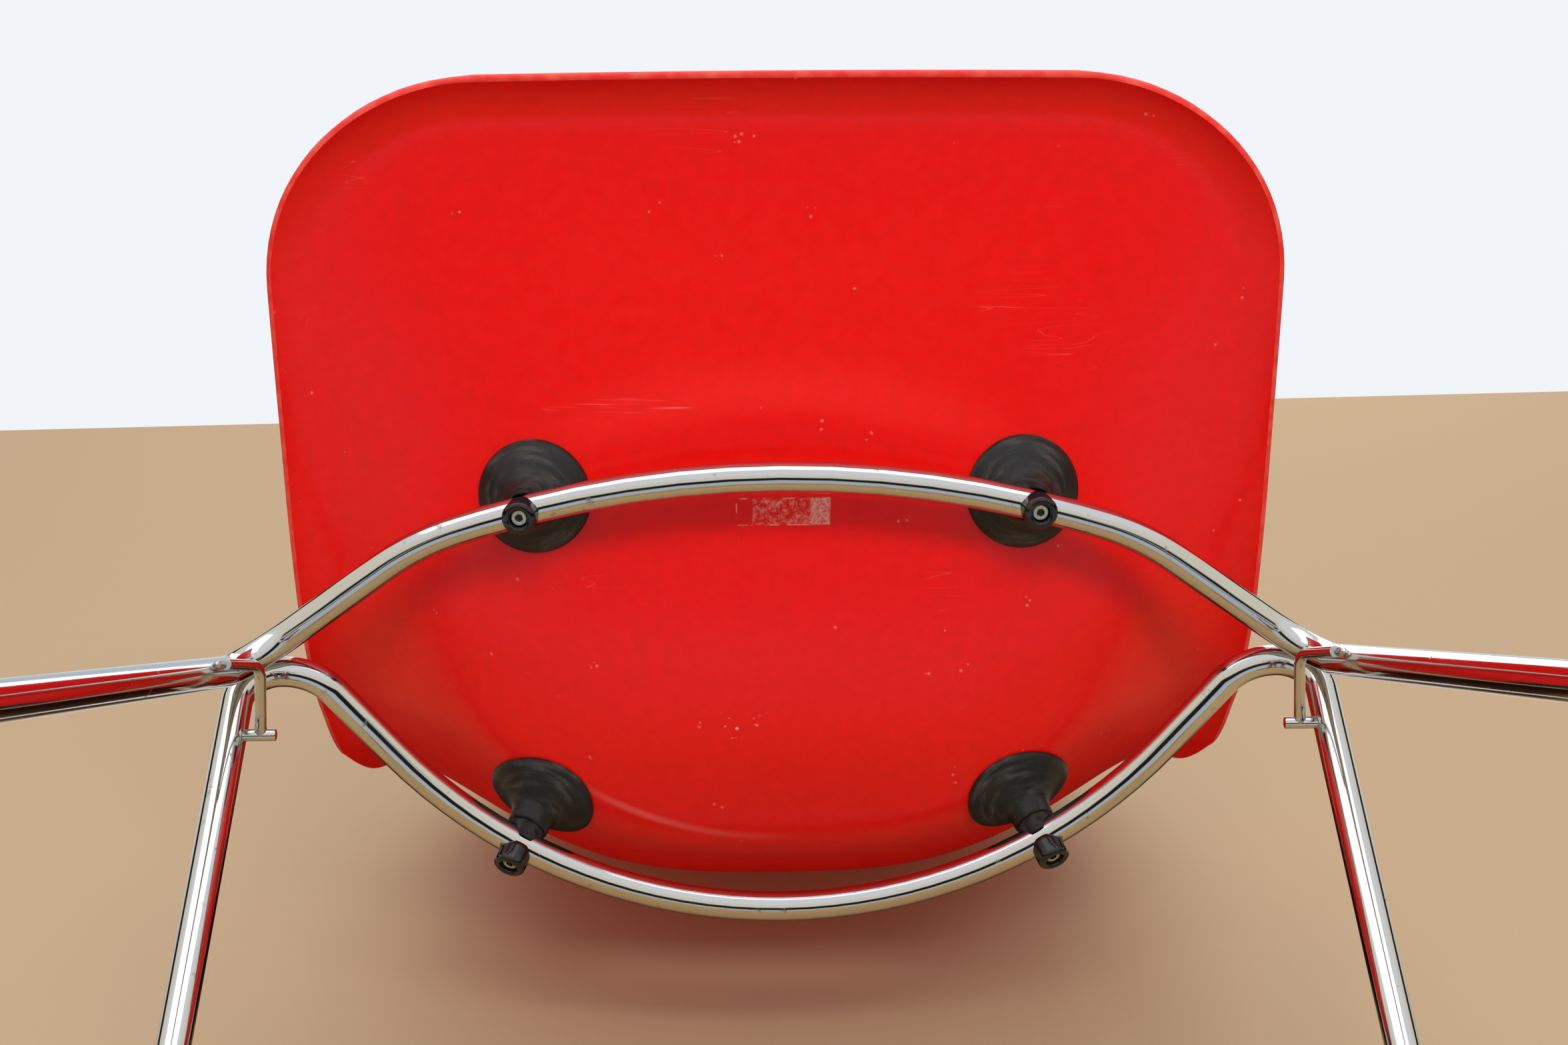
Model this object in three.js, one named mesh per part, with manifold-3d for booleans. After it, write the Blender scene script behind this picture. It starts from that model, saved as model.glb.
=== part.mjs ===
// Stacking side chair: one moulded shell carried on a welded base of two bent tubes.
// Millimetres, +Z up, the chair stands on z = 0 and faces -Y. "Left" is -X, as seen from the front.
// Each bent tube is one hoop under the seat and the two legs that hang from it. The hoops bow apart,
// touch at the sides, and are tied there by a ganging hook. Four rubber mounts carry the shell.

import * as THREE from 'three';
import { mergeVertices } from 'three/addons/utils/BufferGeometryUtils.js';
import Module from 'manifold-3d';

const wasm = await Module();
wasm.setup();

// ---------- driving dimensions ----------

const GAP = 0.3;                     // clearance kept between touching pieces

// Shell: centreline of the underside from the front edge to the top of the back,
// as [y, z, lift of the wings above the centreline, half width, sharpness of the wings].
// A higher sharpness keeps the middle flatter and turns the wings up closer to the rim.
const SHELL_STATIONS = [
  [-272, 443, 0, 241, 2.15],
  [-216, 437, 3, 241, 2.15],
  [-159, 426, 12, 241, 2.15],
  [-102, 414, 24, 241, 2.15],
  [-45, 403, 36, 241, 2.15],
  [11, 395, 49, 240, 2.15],
  [70, 397, 63, 237, 2.15],
  [126, 418, 69, 232, 1.85],
  [166, 463, 67, 226, 1.6],
  [186, 519, 61, 219, 1.55],
  [202, 576, 54, 212, 1.6],
  [220, 633, 49, 208, 1.7],
  [236, 689, 42, 209, 1.8],
  [254, 744, 39, 210, 1.9],
  [271, 800, 36, 208, 1.9],
];
const SHELL_THICKNESS = 4.5;
const SHELL_CORNER_RADIUS = 100;
const SHELL_FRONT_BOW = 3;           // how far the middle of the front edge stands ahead of its ends
const SHELL_TOP_ARCH = 14;           // how far the middle of the top edge stands above its ends
const LIP_WIDTH = 24;                // band along the rim that rolls outwards
const SEAT_LIP_DROP = 12;
const BACK_LIP_DROP = 5;

// Base tubes, as corner points of the bent centreline with the bend radius at each.
const TUBE_RADIUS = 7.5;
const TUBE_WALL = 1.5;
const FRONT_HOOP_Z = 384;
const REAR_HOOP_Z = 386;
const FOOT_X = 264;
const FRONT_FOOT_Y = -160;
const REAR_FOOT_Y = 210;
const FRONT_TUBE_BENDS = [
  { x: 0, y: -115.5, radius: 480 },
  { x: 172, y: -62.5, radius: 130 },
  { x: 264, y: 4, radius: 26 },
];
const REAR_TUBE_BENDS = [
  { x: 0, y: 287, radius: 248 },
  { x: 228, y: 6, radius: 32 },
  { x: 263, y: 6, radius: 19 },
];

// Shock mounts: where the axis crosses the tube, how far it leans on its way up to the shell, and
// how far along the axis the shell is.
const FRONT_MOUNT = { x: 121.5, leanBack: 5, leanIn: 5.5, reach: 28 };
const REAR_MOUNT = { x: 132.5, leanBack: -27, leanIn: 21, reach: 30.5 };
const MOUNT_DISC_RADIUS = 28;
const MOUNT_NECK_RADIUS = 10.5;
const SADDLE_THICKNESS = 2;
const SADDLE_RADIUS = 9.2;
const SADDLE_SKIRT = 5.5;            // the saddle reaches down to this height beside the tube
const INSERT_RADIUS = 5.5;
const INSERT_LENGTH = 13;

// Bolts and the stacking bumpers that hide their heads.
const BOLT_SHANK_RADIUS = 3;
const BOLT_HEAD_RADIUS = 3.8;
const BOLT_HEAD_HEIGHT = 4;
const BOLT_SOCKET_RADIUS = 2.3;
const BOLT_TIP = 24;                 // end of the thread, measured up from the tube centre
const BUMPER_RADIUS = 8.2;
const BUMPER_END = -15.5;
const BUMPER_TOP = -3.5;             // the side walls reach this far up beside the tube
const BUMPER_FLOOR = -9.2;           // the bolt head seats here, inside the recess
const BUMPER_RECESS_RADIUS = 4.4;

// Ganging hooks: a bent rod from the front leg to a short pin on the rear leg.
const HOOK_ROD_RADIUS = 2.7;
const HOOK_PIN_RADIUS = 2.9;
const HOOK_BEND_RADIUS = 7;
const HOOK_START = { x: 253.2, y: -28.5, z: 320 };
const HOOK_CORNER = { x: 244, y: -16, z: 345 };
const HOOK_END_X = 248.3;
const HOOK_PIN_Z = 350;
const HOOK_PIN_TIP_X = 241;
const HOOK_PIN_OFFSET = 2.6;         // pin centre ahead of the leg centre

// Weld beads that tie the hoops where they touch.
const WELD_X = 252.5;
const WELD_RADIUS = 3.6;
const WELD_STRETCH = 2;              // length of a bead over its width
const WELD_RISE = 5.4;               // bead centre above the line between the two tube centres

// Feet: a cap over each leg end, with a pad that is cut flat to the floor.
const TUBE_END_Z = 8;
const GLIDE_RADIUS = 10.5;
const GLIDE_LENGTH = 30;
const GLIDE_PAD_RADIUS = 13;

// Fineness of the shell and of the round sections.
const SHELL_GRID = { cornerRows: 4, middleRows: 22, columns: 18 };
const TUBE_SIDES = 10;
const BEND_STEP = 15;                // degrees

// ---------- materials ----------

const MATERIALS = {
  shell: { color: 0xe11b14, roughness: 0.42, metalness: 0 },
  chrome: { color: 0xd9d9d6, roughness: 0.08, metalness: 1 },
  rubber: { color: 0x22211f, roughness: 0.7, metalness: 0 },
  bumper: { color: 0x0b0b0d, roughness: 0.25, metalness: 0 },
  zinc: { color: 0xb9b8ae, roughness: 0.38, metalness: 0.9 },
  glide: { color: 0x161616, roughness: 0.55, metalness: 0 },
};

const group = new THREE.Group();

function addPart(name, geometry, materialKey) {
  const mesh = new THREE.Mesh(geometry, new THREE.MeshStandardMaterial(MATERIALS[materialKey]));
  mesh.name = name;
  group.add(mesh);
  return mesh;
}

// ---------- solid helpers ----------

function toSolid(geometry) {
  const bare = geometry.clone();
  bare.deleteAttribute('normal');
  bare.deleteAttribute('uv');
  const merged = mergeVertices(bare, 1e-4);
  return new wasm.Manifold(new wasm.Mesh({
    numProp: 3,
    vertProperties: new Float32Array(merged.attributes.position.array),
    triVerts: new Uint32Array(merged.index.array),
  }));
}

function toGeometry(solid) {
  const mesh = solid.getMesh();
  const geometry = new THREE.BufferGeometry();
  geometry.setAttribute('position', new THREE.BufferAttribute(new Float32Array(mesh.vertProperties), 3));
  geometry.setIndex(new THREE.BufferAttribute(new Uint32Array(mesh.triVerts), 1));
  return geometry;
}

// Solid of revolution about +Z from [radius, height] points, listed from the bottom up.
function turned(points, segments) {
  const profile = points.map(([radius, height]) => new THREE.Vector2(radius, height));
  return new THREE.LatheGeometry(profile, segments).rotateX(Math.PI / 2);
}

function rod(radius, bottom, top, segments) {
  return turned([[0, bottom], [radius, bottom], [radius, top], [0, top]], segments);
}

// ---------- bent tubes ----------

// A curve through a list of points that steps from one point to the next, so that
// straight runs take one step and bends take many.
class StepCurve extends THREE.Curve {
  constructor(points) {
    super();
    this.points = points;
  }

  getPointAt(u, target = new THREE.Vector3()) {
    const last = this.points.length - 1;
    return target.copy(this.points[Math.round(u * last)]);
  }

  getTangentAt(u, target = new THREE.Vector3()) {
    const last = this.points.length - 1;
    const i = Math.round(u * last);
    const before = this.points[Math.max(i - 1, 0)];
    const here = this.points[i];
    const after = this.points[Math.min(i + 1, last)];
    const arriving = here.clone().sub(before).normalize();
    const leaving = after.clone().sub(here).normalize();
    return target.copy(arriving.add(leaving)).normalize();
  }
}

// Rounds each inner corner of a polyline with an arc of its own radius.
function roundedPath(corners, degreesPerStep) {
  const path = [corners[0].point.clone()];
  for (let i = 1; i < corners.length - 1; i += 1) {
    const { point, radius } = corners[i];
    const towardsLast = corners[i - 1].point.clone().sub(point).normalize();
    const towardsNext = corners[i + 1].point.clone().sub(point).normalize();
    const halfAngle = towardsLast.angleTo(towardsNext) / 2;
    const turn = Math.PI - 2 * halfAngle;
    const middle = towardsLast.clone().add(towardsNext).normalize();
    const centre = point.clone().addScaledVector(middle, radius / Math.sin(halfAngle));
    const start = point.clone().addScaledVector(towardsLast, radius / Math.tan(halfAngle)).sub(centre);
    const axis = towardsNext.clone().cross(towardsLast).normalize();
    const steps = Math.max(2, Math.ceil(THREE.MathUtils.radToDeg(turn) / degreesPerStep));
    for (let k = 0; k <= steps; k += 1) {
      path.push(start.clone().applyAxisAngle(axis, (turn * k) / steps).add(centre));
    }
  }
  path.push(corners[corners.length - 1].point.clone());
  return path;
}

function circleShape(radius, segments) {
  const points = [];
  for (let i = 0; i < segments; i += 1) {
    const angle = (2 * Math.PI * i) / segments;
    points.push(new THREE.Vector2(radius * Math.cos(angle), radius * Math.sin(angle)));
  }
  return points;
}

// Sweeps a round section along a path; a bore makes it a hollow tube with open ends.
function sweep(path, radius, segments, bore = 0) {
  const section = new THREE.Shape(circleShape(radius, segments));
  if (bore > 0) {
    section.holes.push(new THREE.Path(circleShape(bore, segments)));
  }
  const steps = path.length - 1;
  return new THREE.ExtrudeGeometry(section, { steps, extrudePath: new StepCurve(path), curveSegments: 1 });
}

function tubePath(bends, hoopZ, footY) {
  const shoulder = bends[bends.length - 1];
  const foot = new THREE.Vector3(FOOT_X, footY, 0);
  const top = new THREE.Vector3(shoulder.x, shoulder.y, hoopZ);
  const end = foot.clone().lerp(top, TUBE_END_Z / hoopZ);
  const half = bends.slice(1).map(({ x, y, radius }) => ({ point: new THREE.Vector3(x, y, hoopZ), radius }));
  half.push({ point: end, radius: 0 });
  const mirrored = half.map(({ point, radius }) => (
    { point: new THREE.Vector3(-point.x, point.y, point.z), radius })).reverse();
  const middle = { point: new THREE.Vector3(0, bends[0].y, hoopZ), radius: bends[0].radius };
  return roundedPath([...mirrored, middle, ...half], BEND_STEP);
}

const FRONT_PATH = tubePath(FRONT_TUBE_BENDS, FRONT_HOOP_Z, FRONT_FOOT_Y);
const REAR_PATH = tubePath(REAR_TUBE_BENDS, REAR_HOOP_Z, REAR_FOOT_Y);

// Point of a hoop's centreline over a given x. The legs stand further out than any x asked for.
function hoopPoint(path, x) {
  const i = path.findIndex((point) => point.x >= x);
  const [a, b] = [path[i - 1], path[i]];
  return a.clone().lerp(b, (x - a.x) / (b.x - a.x));
}

// ---------- shell surface ----------

const PROFILE = new THREE.CatmullRomCurve3(
  SHELL_STATIONS.map(([y, z]) => new THREE.Vector3(0, y, z)), false, 'catmullrom', 0.5);
const SECTION = new THREE.CatmullRomCurve3(
  SHELL_STATIONS.map((station) => new THREE.Vector3(...station.slice(2))), false, 'catmullrom', 0.5);
const SHELL_LENGTH = PROFILE.getLength();

function rimDistance(along, across, half) {
  const x = Math.abs(across) - (half - SHELL_CORNER_RADIUS);
  const y = Math.abs(along - SHELL_LENGTH / 2) - (SHELL_LENGTH / 2 - SHELL_CORNER_RADIUS);
  const outside = Math.hypot(Math.max(x, 0), Math.max(y, 0));
  return SHELL_CORNER_RADIUS - outside - Math.min(Math.max(x, y), 0);
}

// Underside of the shell at a distance along the centreline and a distance across from it.
function shellPoint(along, across) {
  const t = THREE.MathUtils.clamp(along / SHELL_LENGTH, 0, 1);
  const { x: lift, y: half, z: sharpness } = SECTION.getPoint(t);
  const side = across / half;
  const bow = SHELL_FRONT_BOW * side ** 2 * (1 - t) ** 12 - SHELL_TOP_ARCH * side ** 2 * t ** 6;
  const shifted = THREE.MathUtils.clamp((along + bow) / SHELL_LENGTH, 0, 1);
  const centre = PROFILE.getPoint(shifted);
  const tangent = PROFILE.getTangent(shifted);
  const wing = lift * Math.sin((Math.PI / 2) * Math.min(Math.abs(side), 1) ** sharpness) ** 2;
  const drop = THREE.MathUtils.lerp(SEAT_LIP_DROP, BACK_LIP_DROP, THREE.MathUtils.smoothstep(t, 0.45, 0.65));
  const roll = THREE.MathUtils.clamp(1 - rimDistance(along, across, half) / LIP_WIDTH, 0, 1);
  const rise = wing - drop * roll ** 2;
  return new THREE.Vector3(across, centre.y - tangent.z * rise, centre.z + tangent.y * rise);
}

// Unit normal of the surface, pointing to the sitter's side.
function shellNormal(along, across) {
  const step = 0.5;
  const acrossStep = shellPoint(along, across + step).sub(shellPoint(along, across - step));
  const from = Math.max(along - step, 0);
  const to = Math.min(along + step, SHELL_LENGTH);
  const alongStep = shellPoint(to, across).sub(shellPoint(from, across));
  return acrossStep.cross(alongStep).normalize();
}

// Rows run from the front edge to the top; they crowd together where the corners round off.
function shellRows(cornerRows, middleRows) {
  const rows = [];
  for (let i = 0; i < cornerRows; i += 1) {
    rows.push(SHELL_CORNER_RADIUS * (1 - Math.cos((Math.PI / 2) * (i / cornerRows))));
  }
  const straight = SHELL_LENGTH - 2 * SHELL_CORNER_RADIUS;
  for (let i = 0; i <= middleRows; i += 1) {
    rows.push(SHELL_CORNER_RADIUS + (straight * i) / middleRows);
  }
  for (let i = cornerRows - 1; i >= 0; i -= 1) {
    rows.push(SHELL_LENGTH - rows[i]);
  }
  return rows;
}

function rowHalfWidth(along) {
  const { y: half } = SECTION.getPoint(along / SHELL_LENGTH);
  const fromEnd = Math.min(along, SHELL_LENGTH - along);
  if (fromEnd >= SHELL_CORNER_RADIUS) {
    return half;
  }
  const inset = SHELL_CORNER_RADIUS - fromEnd;
  return half - SHELL_CORNER_RADIUS + Math.sqrt(SHELL_CORNER_RADIUS ** 2 - inset ** 2);
}

// Closed body between two offsets of the underside, measured towards the sitter.
function shellBody(outerOffset, innerOffset) {
  const { cornerRows, middleRows, columns } = SHELL_GRID;
  const rows = shellRows(cornerRows, middleRows);
  const positions = [];
  for (const offset of [outerOffset, innerOffset]) {
    for (const along of rows) {
      for (let j = 0; j <= columns; j += 1) {
        const across = rowHalfWidth(along) * Math.sin((Math.PI / 2) * ((2 * j) / columns - 1));
        const point = shellPoint(along, across).addScaledVector(shellNormal(along, across), offset);
        positions.push(point.x, point.y, point.z);
      }
    }
  }
  const outer = (i, j) => i * (columns + 1) + j;
  const inner = (i, j) => outer(i, j) + rows.length * (columns + 1);
  const index = [];
  const lastRow = rows.length - 1;
  for (let i = 0; i < lastRow; i += 1) {
    for (let j = 0; j < columns; j += 1) {
      index.push(outer(i, j), outer(i + 1, j), outer(i + 1, j + 1));
      index.push(outer(i, j), outer(i + 1, j + 1), outer(i, j + 1));
      index.push(inner(i, j), inner(i + 1, j + 1), inner(i + 1, j));
      index.push(inner(i, j), inner(i, j + 1), inner(i + 1, j + 1));
    }
  }
  const rim = [];
  for (let j = 0; j < columns; j += 1) rim.push([0, j]);
  for (let i = 0; i < lastRow; i += 1) rim.push([i, columns]);
  for (let j = columns; j > 0; j -= 1) rim.push([lastRow, j]);
  for (let i = lastRow; i > 0; i -= 1) rim.push([i, 0]);
  rim.forEach(([i, j], k) => {
    const [nextI, nextJ] = rim[(k + 1) % rim.length];
    index.push(outer(i, j), outer(nextI, nextJ), inner(nextI, nextJ));
    index.push(outer(i, j), inner(nextI, nextJ), inner(i, j));
  });
  const geometry = new THREE.BufferGeometry();
  geometry.setAttribute('position', new THREE.Float32BufferAttribute(positions, 3));
  geometry.setIndex(index);
  return geometry;
}

// ---------- mounts, bolts and bumpers ----------

// Placement of one mount: origin on the tube's centreline, +Z along the axis up to the shell.
function mountFrame({ x, leanBack, leanIn }, path, side) {
  const origin = hoopPoint(path, side * x);
  const axis = new THREE.Vector3(
    -side * Math.tan(THREE.MathUtils.degToRad(leanIn)),
    Math.tan(THREE.MathUtils.degToRad(leanBack)),
    1,
  ).normalize();
  const turn = new THREE.Quaternion().setFromUnitVectors(new THREE.Vector3(0, 0, 1), axis);
  return new THREE.Matrix4().compose(origin, turn, new THREE.Vector3(1, 1, 1));
}

const SIDES = [['left', -1], ['right', 1]];

function mountPair(end, settings, path) {
  return SIDES.map(([side, sign]) => (
    { name: `${end}_${side}`, frame: mountFrame(settings, path, sign), path, ...settings }));
}

const FRONT_MOUNTS = mountPair('front', FRONT_MOUNT, FRONT_PATH);
const REAR_MOUNTS = mountPair('rear', REAR_MOUNT, REAR_PATH);

// A tube a little fatter than the real one, to cut the pieces that saddle it.
const CLEAR_TUBES = new Map([FRONT_PATH, REAR_PATH].map((path) => (
  [path, toSolid(sweep(path, TUBE_RADIUS + GAP, TUBE_SIDES))])));

// The space that the shell takes up, grown by the gap and thickened upwards.
const SHELL_SPACE = toSolid(shellBody(-GAP, 20));

function placed(geometry, frame) {
  return toSolid(geometry.applyMatrix4(frame));
}

function addMount({ name, frame, path, reach }) {
  const clearTube = CLEAR_TUBES.get(path);
  const saddleTop = TUBE_RADIUS + SADDLE_THICKNESS;
  const neckBottom = saddleTop + GAP;
  const boltHole = rod(BOLT_SHANK_RADIUS + GAP, -40, BOLT_TIP + GAP, 12);

  const rubber = placed(turned([
    [0, neckBottom],
    [MOUNT_NECK_RADIUS, neckBottom],
    [MOUNT_NECK_RADIUS, reach - 17],
    [12.6, reach - 13.6],
    [17.2, reach - 9.7],
    [23.2, reach - 6],
    [MOUNT_DISC_RADIUS - 0.8, reach - 3],
    [MOUNT_DISC_RADIUS, reach - 2],
    [MOUNT_DISC_RADIUS, reach + 6],
    [0, reach + 6],
  ], 24), frame)
    .subtract(SHELL_SPACE)
    .subtract(placed(rod(INSERT_RADIUS + GAP, 0, neckBottom + INSERT_LENGTH + GAP, 12), frame))
    .subtract(placed(rod(BOLT_SHANK_RADIUS + GAP, 0, BOLT_TIP + GAP, 12), frame));
  addPart(`${name}_shock_mount`, toGeometry(rubber), 'rubber');

  const insert = placed(rod(INSERT_RADIUS, neckBottom, neckBottom + INSERT_LENGTH, 12), frame)
    .subtract(placed(boltHole.clone(), frame));
  addPart(`${name}_threaded_insert`, toGeometry(insert), 'zinc');

  const saddle = placed(rod(SADDLE_RADIUS, SADDLE_SKIRT, saddleTop, 14), frame)
    .subtract(clearTube)
    .subtract(placed(boltHole.clone(), frame));
  addPart(`${name}_saddle_washer`, toGeometry(saddle), 'rubber');

  const bumper = placed(turned([
    [0, BUMPER_END],
    [BUMPER_RADIUS - 2.6, BUMPER_END],
    [BUMPER_RADIUS - 0.8, BUMPER_END + 0.8],
    [BUMPER_RADIUS, BUMPER_END + 2.6],
    [BUMPER_RADIUS, BUMPER_TOP],
    [0, BUMPER_TOP],
  ], 16), frame)
    .subtract(clearTube)
    .subtract(placed(boltHole.clone(), frame))
    .subtract(placed(rod(BUMPER_RECESS_RADIUS, BUMPER_END - 1, BUMPER_FLOOR, 14), frame));
  addPart(`${name}_stacking_bumper`, toGeometry(bumper), 'bumper');

  const headTop = BUMPER_FLOOR - GAP;
  const headBottom = headTop - BOLT_HEAD_HEIGHT;
  const bolt = placed(turned([
    [0, headBottom],
    [BOLT_HEAD_RADIUS - 0.4, headBottom],
    [BOLT_HEAD_RADIUS, headBottom + 0.4],
    [BOLT_HEAD_RADIUS, headTop],
    [BOLT_SHANK_RADIUS, headTop],
    [BOLT_SHANK_RADIUS, BOLT_TIP],
    [0, BOLT_TIP],
  ], 12), frame)
    .subtract(placed(rod(BOLT_SOCKET_RADIUS, headBottom - 1, headBottom + 2.2, 6), frame));
  addPart(`${name}_mount_bolt`, toGeometry(bolt), 'zinc');
}

// ---------- base ----------

function addTube(name, path, mounts) {
  const bore = TUBE_RADIUS - TUBE_WALL;
  let tube = toSolid(sweep(path, TUBE_RADIUS, TUBE_SIDES, bore));
  for (const { frame } of mounts) {
    tube = tube.subtract(placed(rod(BOLT_SHANK_RADIUS + GAP, -12, 12, 10), frame));
  }
  addPart(name, toGeometry(tube), 'chrome');
}

// Bead in the valley on top of the two hoops, at the place where they touch.
function addWeld(name, side) {
  const front = hoopPoint(FRONT_PATH, side * WELD_X);
  const rear = hoopPoint(REAR_PATH, side * WELD_X);
  const across = rear.clone().sub(front).normalize();
  const along = new THREE.Vector3(side, 0, 0);
  const up = along.clone().cross(across).multiplyScalar(side).normalize();
  const centre = front.clone().lerp(rear, 0.5).addScaledVector(up, WELD_RISE);
  const bead = new THREE.SphereGeometry(WELD_RADIUS, 12, 8)
    .scale(WELD_STRETCH, 1, 1)
    .translate(centre.x, centre.y, centre.z);
  const solid = toSolid(bead)
    .subtract(CLEAR_TUBES.get(FRONT_PATH))
    .subtract(CLEAR_TUBES.get(REAR_PATH));
  addPart(name, toGeometry(solid), 'chrome');
}

function legPoint(footY, bends, hoopZ, z, side) {
  const shoulder = bends[bends.length - 1];
  const t = z / hoopZ;
  const x = THREE.MathUtils.lerp(FOOT_X, shoulder.x, t);
  return new THREE.Vector3(side * x, THREE.MathUtils.lerp(footY, shoulder.y, t), z);
}

function addHook(side, sign) {
  const leg = legPoint(REAR_FOOT_Y, REAR_TUBE_BENDS, REAR_HOOP_Z, HOOK_PIN_Z, 1);
  const pinY = leg.y - HOOK_PIN_OFFSET;
  const point = ({ x, y, z }) => new THREE.Vector3(sign * x, y, z);
  const pinTip = point({ x: HOOK_PIN_TIP_X, y: pinY, z: HOOK_PIN_Z });
  const pinRoot = point({ x: leg.x, y: pinY, z: HOOK_PIN_Z });
  const pin = toSolid(sweep([pinTip, pinRoot], HOOK_PIN_RADIUS, 12))
    .subtract(CLEAR_TUBES.get(REAR_PATH));
  addPart(`${side}_hook_pin`, toGeometry(pin), 'chrome');

  const path = roundedPath([
    { point: point(HOOK_START), radius: 0 },
    { point: point(HOOK_CORNER), radius: HOOK_BEND_RADIUS },
    { point: point({ x: HOOK_END_X, y: pinY, z: HOOK_PIN_Z }), radius: 0 },
  ], BEND_STEP);
  const hook = toSolid(sweep(path, HOOK_ROD_RADIUS, 10))
    .subtract(toSolid(sweep([pinTip, pinRoot], HOOK_PIN_RADIUS + GAP, 12)))
    .subtract(CLEAR_TUBES.get(FRONT_PATH));
  addPart(`${side}_ganging_hook`, toGeometry(hook), 'chrome');
}

// Cap over a leg end: it follows the slant of the leg and is cut flat at the floor.
function addGlide(name, footY, bends, hoopZ, side) {
  const foot = legPoint(footY, bends, hoopZ, 0, side);
  const axis = legPoint(footY, bends, hoopZ, hoopZ, side).sub(foot).normalize();
  const turn = new THREE.Quaternion().setFromUnitVectors(new THREE.Vector3(0, 0, 1), axis);
  const frame = new THREE.Matrix4().compose(foot, turn, new THREE.Vector3(1, 1, 1));
  const boreFloor = TUBE_END_Z / axis.z - GAP;
  const floor = new THREE.BoxGeometry(100, 100, 100).translate(foot.x, foot.y, -50);
  const cap = placed(turned([
    [0, -20],
    [GLIDE_PAD_RADIUS, -20],
    [GLIDE_PAD_RADIUS, 5],
    [GLIDE_RADIUS, 11],
    [GLIDE_RADIUS, GLIDE_LENGTH - 1.5],
    [GLIDE_RADIUS - 1.5, GLIDE_LENGTH],
    [0, GLIDE_LENGTH],
  ], 20), frame)
    .subtract(placed(rod(TUBE_RADIUS + GAP, boreFloor, GLIDE_LENGTH + 1, 18), frame))
    .subtract(toSolid(floor));
  addPart(name, toGeometry(cap), 'glide');
}

// ---------- build ----------

addPart('seat_shell', shellBody(0, SHELL_THICKNESS), 'shell');
addTube('front_hoop_tube', FRONT_PATH, FRONT_MOUNTS);
addTube('rear_hoop_tube', REAR_PATH, REAR_MOUNTS);
[...FRONT_MOUNTS, ...REAR_MOUNTS].forEach(addMount);
for (const [side, sign] of SIDES) {
  addWeld(`${side}_hoop_weld`, sign);
  addHook(side, sign);
  addGlide(`front_${side}_foot_glide`, FRONT_FOOT_Y, FRONT_TUBE_BENDS, FRONT_HOOP_Z, sign);
  addGlide(`rear_${side}_foot_glide`, REAR_FOOT_Y, REAR_TUBE_BENDS, REAR_HOOP_Z, sign);
}

export default group;
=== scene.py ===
"""Stacking chair with a moulded shell, lying on its back, seen from below.

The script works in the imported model's frame: the chair stands on z = 0, faces -Y, +Z up.
Dimensions are in millimetres and are turned into metres when a mesh is made.
"""
import math

import bpy
import numpy as np
from mathutils import Matrix, Quaternion, Vector
from mathutils.bvhtree import BVHTree


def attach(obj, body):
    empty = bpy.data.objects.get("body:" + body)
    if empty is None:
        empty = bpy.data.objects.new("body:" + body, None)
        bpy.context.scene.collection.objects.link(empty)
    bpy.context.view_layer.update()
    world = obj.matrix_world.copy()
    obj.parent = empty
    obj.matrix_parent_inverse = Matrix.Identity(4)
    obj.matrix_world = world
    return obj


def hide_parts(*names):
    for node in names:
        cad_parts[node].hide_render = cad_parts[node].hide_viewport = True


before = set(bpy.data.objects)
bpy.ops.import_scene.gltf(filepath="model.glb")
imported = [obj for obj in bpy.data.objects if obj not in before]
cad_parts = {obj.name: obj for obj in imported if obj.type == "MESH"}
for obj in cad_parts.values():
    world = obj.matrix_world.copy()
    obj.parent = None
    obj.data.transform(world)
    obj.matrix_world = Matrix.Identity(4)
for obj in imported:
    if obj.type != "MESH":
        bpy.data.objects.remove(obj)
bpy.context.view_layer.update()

MM = 0.001

# ---------- dimensions, in millimetres ----------

# Shell underside from the front edge to the top of the back, as
# (y, z, lift of the wings, half width, sharpness of the wings).
SHELL_STATIONS = np.array([
    (-272, 443, 0, 241, 2.15),
    (-216, 437, 3, 241, 2.15),
    (-159, 426, 12, 241, 2.15),
    (-102, 414, 24, 241, 2.15),
    (-45, 403, 36, 241, 2.15),
    (11, 395, 49, 240, 2.15),
    (70, 397, 63, 237, 2.15),
    (126, 418, 69, 232, 1.85),
    (166, 463, 67, 226, 1.6),
    (186, 519, 61, 219, 1.55),
    (202, 576, 54, 212, 1.6),
    (220, 633, 49, 208, 1.7),
    (236, 689, 42, 209, 1.8),
    (254, 744, 39, 210, 1.9),
    (271, 800, 36, 208, 1.9),
], dtype=float)
SHELL_THICKNESS = 4.5
SHELL_CORNER_RADIUS = 100.0
SHELL_FRONT_BOW = 3.0
SHELL_TOP_ARCH = 14.0
LIP_WIDTH = 24.0
SEAT_LIP_DROP = 12.0
BACK_LIP_DROP = 5.0
BOWL_CENTRE_Y = 6.0               # a soft shoulder rings the bowl under the sitter
BOWL_RADIUS_X = 168.0
BOWL_RADIUS_Y = 116.0
BOWL_SHOULDER = 2.6
BOWL_SOFTNESS = 0.17
SHELL_CORNER_ROWS = 22
SHELL_MIDDLE_ROWS = 110
SHELL_COLUMNS = 100
RIM_STEPS = 6                     # facets across the rounded edge of the shell
RIM_BULGE = 1.6

TUBE_RADIUS = 7.5
FRONT_HOOP_Z = 384.0
REAR_HOOP_Z = 386.0
FOOT_X = 264.0
FRONT_FOOT_Y = -160.0
REAR_FOOT_Y = 210.0
FRONT_BENDS = [(0, -115.5, 480), (172, -62.5, 130), (264, 4, 26)]
REAR_BENDS = [(0, 287, 248), (228, 6, 32), (263, 6, 19)]
TUBE_END_Z = 8.0
TUBE_SIDES = 48

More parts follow.
